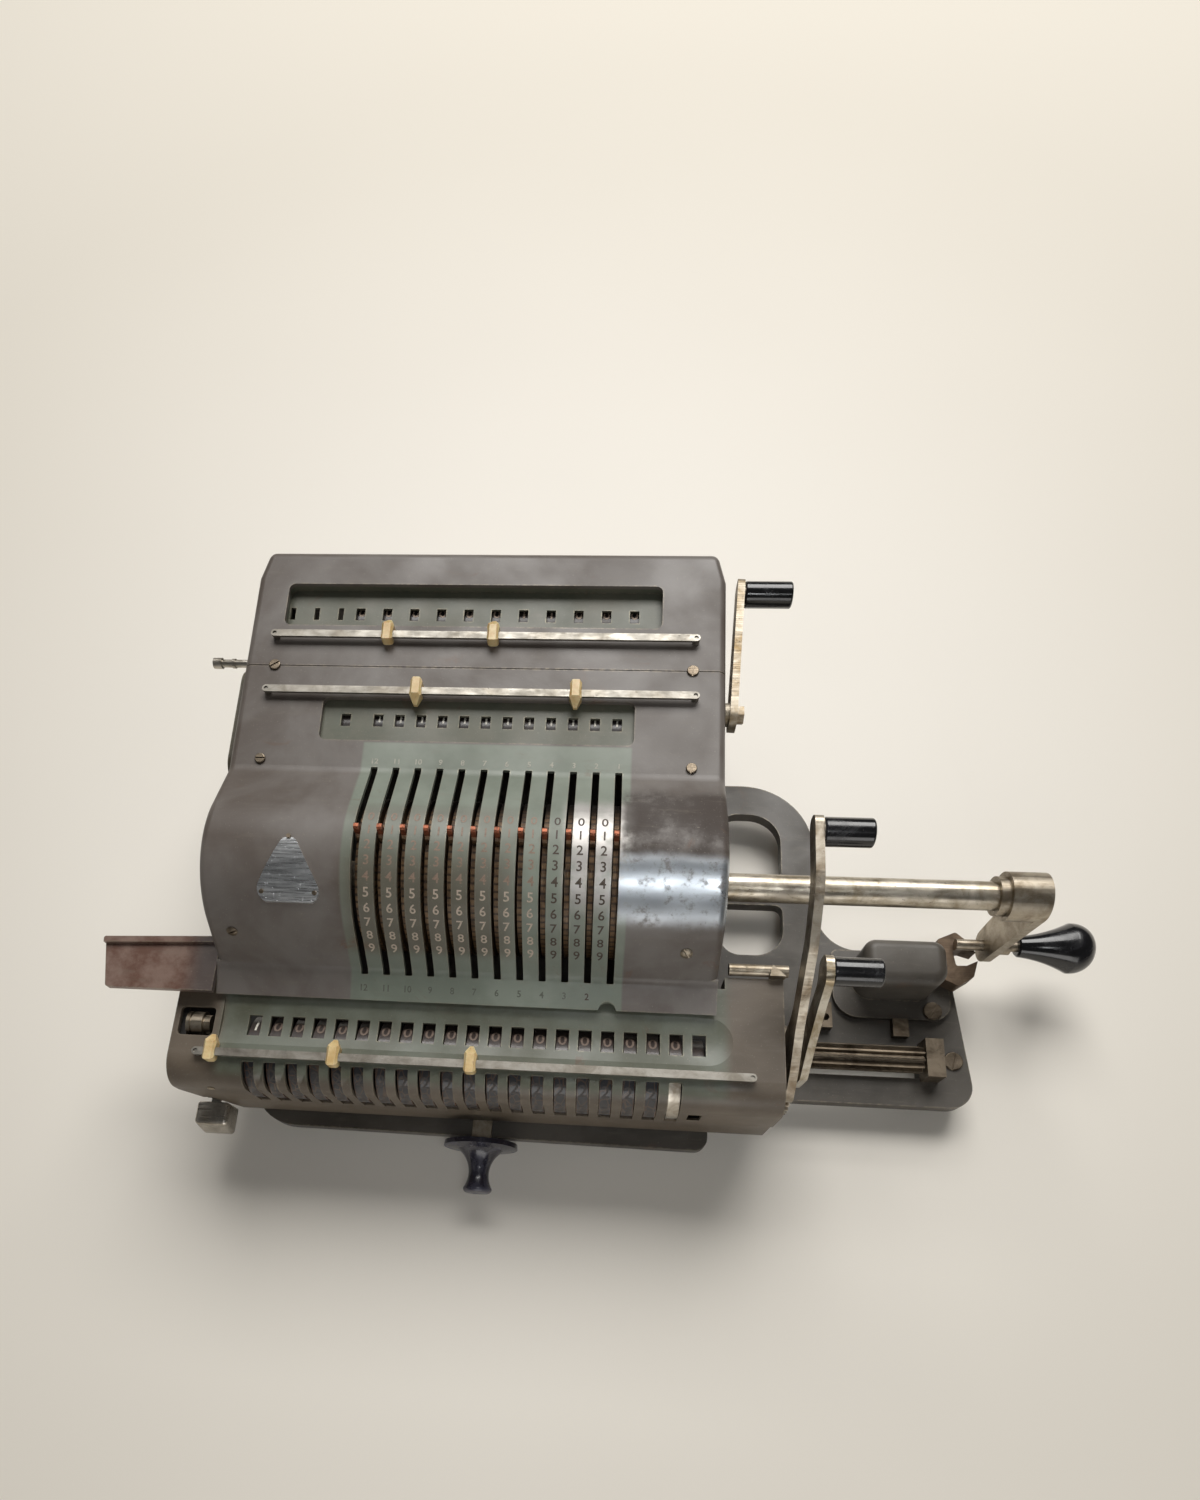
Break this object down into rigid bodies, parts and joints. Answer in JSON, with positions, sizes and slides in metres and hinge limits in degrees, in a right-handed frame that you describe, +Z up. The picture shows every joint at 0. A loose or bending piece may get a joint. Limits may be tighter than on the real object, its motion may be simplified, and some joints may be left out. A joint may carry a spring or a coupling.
{
  "type": "pinwheel calculator",
  "caption": "Hand-cranked pinwheel calculator with slotted drum cover and setting levers, shifting result carriage, clearing levers, crank and open outrigger base.",
  "frame": {"origin": "centre of the overall bounding box, on the table plane under the feet", "axes": "+X to the crank side, +Y to the back, +Z up"},
  "size_m": [0.446, 0.2784, 0.1338],
  "materials": {
    "dark_paint": "worn semi-gloss grey-brown enamel",
    "frame_black": "satin black enamel",
    "base_brown": "worn brown-black enamel",
    "steel": "aged, pitted steel",
    "nickel": "dull nickel plate",
    "rust": "rusty dark steel",
    "badge": "bare plate",
    "ivory": "yellowed ivory-coloured plastic",
    "black_wood": "polished black lacquer",
    "rubber": "matt rubber",
    "dial": "black with white figures",
    "brass": "dull brass"
  },
  "bodies": {
    "frame": {"base_plate": "base_brown", "rubber_feet": "rubber", "side_frame_left": "frame_black", "side_frame_right": "frame_black", "front_cover": "dark_paint", "top_cover": "dark_paint", "window_plates": "dark_paint", "pointer_bars": "nickel", "cover_fasteners": "steel", "badge_plate": "badge", "left_guard_plate": "rust", "left_side_plate": "dark_paint", "crank_stop_housing": "base_brown", "crank_rest_catch": "rust", "base_blocks": "steel", "carriage_rails": "steel", "dial_spindles": "steel"},
    "crank": {"crank_shaft": "steel", "pinwheel_discs": "brass", "setting_pins": "steel", "crank_arm": "steel"},
    "handle": {"crank_handle": "black_wood"},
    "setting_lever_body_01": {"setting_lever_01": "brass"},
    "setting_lever_body_02": {"setting_lever_02": "brass"},
    "setting_lever_body_03": {"setting_lever_03": "brass"},
    "setting_lever_body_04": {"setting_lever_04": "brass"},
    "setting_lever_body_05": {"setting_lever_05": "brass"},
    "setting_lever_body_06": {"setting_lever_06": "brass"},
    "setting_lever_body_07": {"setting_lever_07": "brass"},
    "setting_lever_body_08": {"setting_lever_08": "brass"},
    "setting_lever_body_09": {"setting_lever_09": "brass"},
    "setting_lever_body_10": {"setting_lever_10": "brass"},
    "setting_lever_body_11": {"setting_lever_11": "brass"},
    "setting_lever_body_12": {"setting_lever_12": "brass"},
    "control_register": {"control_dials": "dial"},
    "counter_register": {"counter_dials": "dial"},
    "counter_clearing": {"counter_clear_lever": "nickel", "counter_clear_grip": "black_wood"},
    "carriage": {"carriage_cover": "dark_paint", "carriage_frame": "frame_black", "carriage_spindles": "steel", "carriage_pointer_bar": "nickel"},
    "result_register": {"result_dials": "dial"},
    "transfer_train": {"transfer_gears": "brass"},
    "shift_key": {"shift_key_bracket": "steel", "shift_knob": "black_wood"},
    "release_key": {"carriage_release_lever": "nickel"},
    "setting_clearing": {"setting_clear_lever": "nickel", "setting_clear_grip": "black_wood"},
    "result_clearing": {"result_clear_lever": "nickel", "result_clear_grip": "black_wood"},
    "long_pinion": {"clearing_pinion": "steel"},
    "selector": {"selector_pin": "nickel"},
    "upper_pointer_left_body": {"upper_pointer_left": "ivory"},
    "upper_pointer_right_body": {"upper_pointer_right": "ivory"},
    "lower_pointer_left_body": {"lower_pointer_left": "ivory"},
    "lower_pointer_right_body": {"lower_pointer_right": "ivory"},
    "carriage_pointer_left_body": {"carriage_pointer_left": "ivory"},
    "carriage_pointer_middle_body": {"carriage_pointer_middle": "ivory"},
    "carriage_pointer_right_body": {"carriage_pointer_right": "ivory"}
  },
  "joints": [
    {"name": "crank_turn", "type": "hinge", "parent": "frame", "child": "crank", "pos_m": [0.03582, -0.01175, 0.086], "axis": [1, 0, 0], "continuous": true},
    {"name": "crank_handle_spin", "type": "hinge", "parent": "crank", "child": "handle", "pos_m": [0.20782, -0.01175, 0.033], "axis": [1, 0, 0], "continuous": true},
    {"name": "setting_lever_01_swing", "type": "hinge", "parent": "crank", "child": "setting_lever_body_01", "pos_m": [-0.00168, -0.01175, 0.086], "axis": [1, 0, 0], "range_deg": [-9.74, 77.9]},
    {"name": "setting_lever_02_swing", "type": "hinge", "parent": "crank", "child": "setting_lever_body_02", "pos_m": [-0.01118, -0.01175, 0.086], "axis": [1, 0, 0], "range_deg": [-9.74, 77.9]},
    {"name": "setting_lever_03_swing", "type": "hinge", "parent": "crank", "child": "setting_lever_body_03", "pos_m": [-0.02068, -0.01175, 0.086], "axis": [1, 0, 0], "range_deg": [-9.74, 77.9]},
    {"name": "setting_lever_04_swing", "type": "hinge", "parent": "crank", "child": "setting_lever_body_04", "pos_m": [-0.03018, -0.01175, 0.086], "axis": [1, 0, 0], "range_deg": [-9.74, 77.9]},
    {"name": "setting_lever_05_swing", "type": "hinge", "parent": "crank", "child": "setting_lever_body_05", "pos_m": [-0.03968, -0.01175, 0.086], "axis": [1, 0, 0], "range_deg": [-9.74, 77.9]},
    {"name": "setting_lever_06_swing", "type": "hinge", "parent": "crank", "child": "setting_lever_body_06", "pos_m": [-0.04918, -0.01175, 0.086], "axis": [1, 0, 0], "range_deg": [-9.74, 77.9]},
    {"name": "setting_lever_07_swing", "type": "hinge", "parent": "crank", "child": "setting_lever_body_07", "pos_m": [-0.05868, -0.01175, 0.086], "axis": [1, 0, 0], "range_deg": [-9.74, 77.9]},
    {"name": "setting_lever_08_swing", "type": "hinge", "parent": "crank", "child": "setting_lever_body_08", "pos_m": [-0.06818, -0.01175, 0.086], "axis": [1, 0, 0], "range_deg": [-9.74, 77.9]},
    {"name": "setting_lever_09_swing", "type": "hinge", "parent": "crank", "child": "setting_lever_body_09", "pos_m": [-0.07768, -0.01175, 0.086], "axis": [1, 0, 0], "range_deg": [-9.74, 77.9]},
    {"name": "setting_lever_10_swing", "type": "hinge", "parent": "crank", "child": "setting_lever_body_10", "pos_m": [-0.08718, -0.01175, 0.086], "axis": [1, 0, 0], "range_deg": [-9.74, 77.9]},
    {"name": "setting_lever_11_swing", "type": "hinge", "parent": "crank", "child": "setting_lever_body_11", "pos_m": [-0.09668, -0.01175, 0.086], "axis": [1, 0, 0], "range_deg": [-9.74, 77.9]},
    {"name": "setting_lever_12_swing", "type": "hinge", "parent": "crank", "child": "setting_lever_body_12", "pos_m": [-0.10618, -0.01175, 0.086], "axis": [1, 0, 0], "range_deg": [-9.74, 77.9]},
    {"name": "counter_clear_swing", "type": "hinge", "parent": "frame", "child": "counter_clearing", "pos_m": [0.04782, 0.06145, 0.106], "axis": [1, 0, 0], "range_deg": [0, 95]},
    {"name": "counter_dials_turn", "type": "hinge", "parent": "frame", "child": "counter_register", "pos_m": [-0.06418, 0.10849, 0.09941], "axis": [1, 0, 0], "range_deg": [0, 342]},
    {"name": "control_dials_turn", "type": "hinge", "parent": "frame", "child": "control_register", "pos_m": [-0.06418, 0.05177, 0.09915], "axis": [1, 0, 0], "range_deg": [-36, 0]},
    {"name": "carriage_shift", "type": "slide", "parent": "frame", "child": "carriage", "axis": [1, 0, 0], "range_m": [-0.0285, 0.0475]},
    {"name": "result_dials_turn", "type": "hinge", "parent": "carriage", "child": "result_register", "pos_m": [-0.06418, -0.08895, 0.0575], "axis": [1, 0, 0], "range_deg": [0, 360]},
    {"name": "transfer_gears_turn", "type": "hinge", "parent": "carriage", "child": "transfer_train", "pos_m": [-0.06418, -0.05875, 0.053], "axis": [1, 0, 0], "range_deg": [-300, 0]},
    {"name": "setting_clear_swing", "type": "hinge", "parent": "carriage", "child": "setting_clearing", "pos_m": [0.07582, -0.07964, 0.045], "axis": [1, 0, 0], "range_deg": [0, 60]},
    {"name": "result_clear_swing", "type": "hinge", "parent": "carriage", "child": "result_clearing", "pos_m": [0.08182, -0.07964, 0.045], "axis": [1, 0, 0], "range_deg": [0, 60]},
    {"name": "long_pinion_turn", "type": "hinge", "parent": "frame", "child": "long_pinion", "pos_m": [0.08582, -0.06675, 0.023], "axis": [1, 0, 0], "range_deg": [-220, 0]},
    {"name": "shift_key_swing", "type": "hinge", "parent": "carriage", "child": "shift_key", "pos_m": [-0.05818, -0.09025, 0.02], "axis": [0, 0, 1], "range_deg": [-6, 6], "stiffness_Nm_per_rad": 0.3},
    {"name": "release_key_press", "type": "hinge", "parent": "carriage", "child": "release_key", "pos_m": [-0.18418, -0.08975, 0.0298], "axis": [1, 0, 0], "range_deg": [0, 4], "stiffness_Nm_per_rad": 0.3},
    {"name": "selector_slide", "type": "slide", "parent": "frame", "child": "selector", "axis": [1, 0, 0], "range_m": [-0.006, 0]},
    {"name": "upper_pointer_left_slide", "type": "slide", "parent": "frame", "child": "upper_pointer_left_body", "axis": [1, 0, 0], "range_m": [-0.0466, 0.0198]},
    {"name": "upper_pointer_right_slide", "type": "slide", "parent": "frame", "child": "upper_pointer_right_body", "axis": [1, 0, 0], "range_m": [-0.0209, 0.0841]},
    {"name": "lower_pointer_left_slide", "type": "slide", "parent": "frame", "child": "lower_pointer_left_body", "axis": [1, 0, 0], "range_m": [-0.0622, 0.0312]},
    {"name": "lower_pointer_right_slide", "type": "slide", "parent": "frame", "child": "lower_pointer_right_body", "axis": [1, 0, 0], "range_m": [-0.0309, 0.0463]},
    {"name": "carriage_pointer_left_slide", "type": "slide", "parent": "carriage", "child": "carriage_pointer_left_body", "axis": [1, 0, 0], "range_m": [-0.0016, 0.0217]},
    {"name": "carriage_pointer_middle_slide", "type": "slide", "parent": "carriage", "child": "carriage_pointer_middle_body", "axis": [1, 0, 0], "range_m": [-0.025, 0.0252]},
    {"name": "carriage_pointer_right_slide", "type": "slide", "parent": "carriage", "child": "carriage_pointer_right_body", "axis": [1, 0, 0], "range_m": [-0.0261, 0.1099]}
  ],
  "couplings": [
    {"joint": "counter_dials_turn", "follows": "counter_clear_swing", "ratio": 3.6},
    {"joint": "long_pinion_turn", "follows": "setting_clear_swing", "ratio": -3.6364},
    {"joint": "control_dials_turn", "follows": "setting_clear_swing", "ratio": -0.6},
    {"joint": "result_dials_turn", "follows": "result_clear_swing", "ratio": 6},
    {"joint": "transfer_gears_turn", "follows": "result_clear_swing", "ratio": -5}
  ]
}
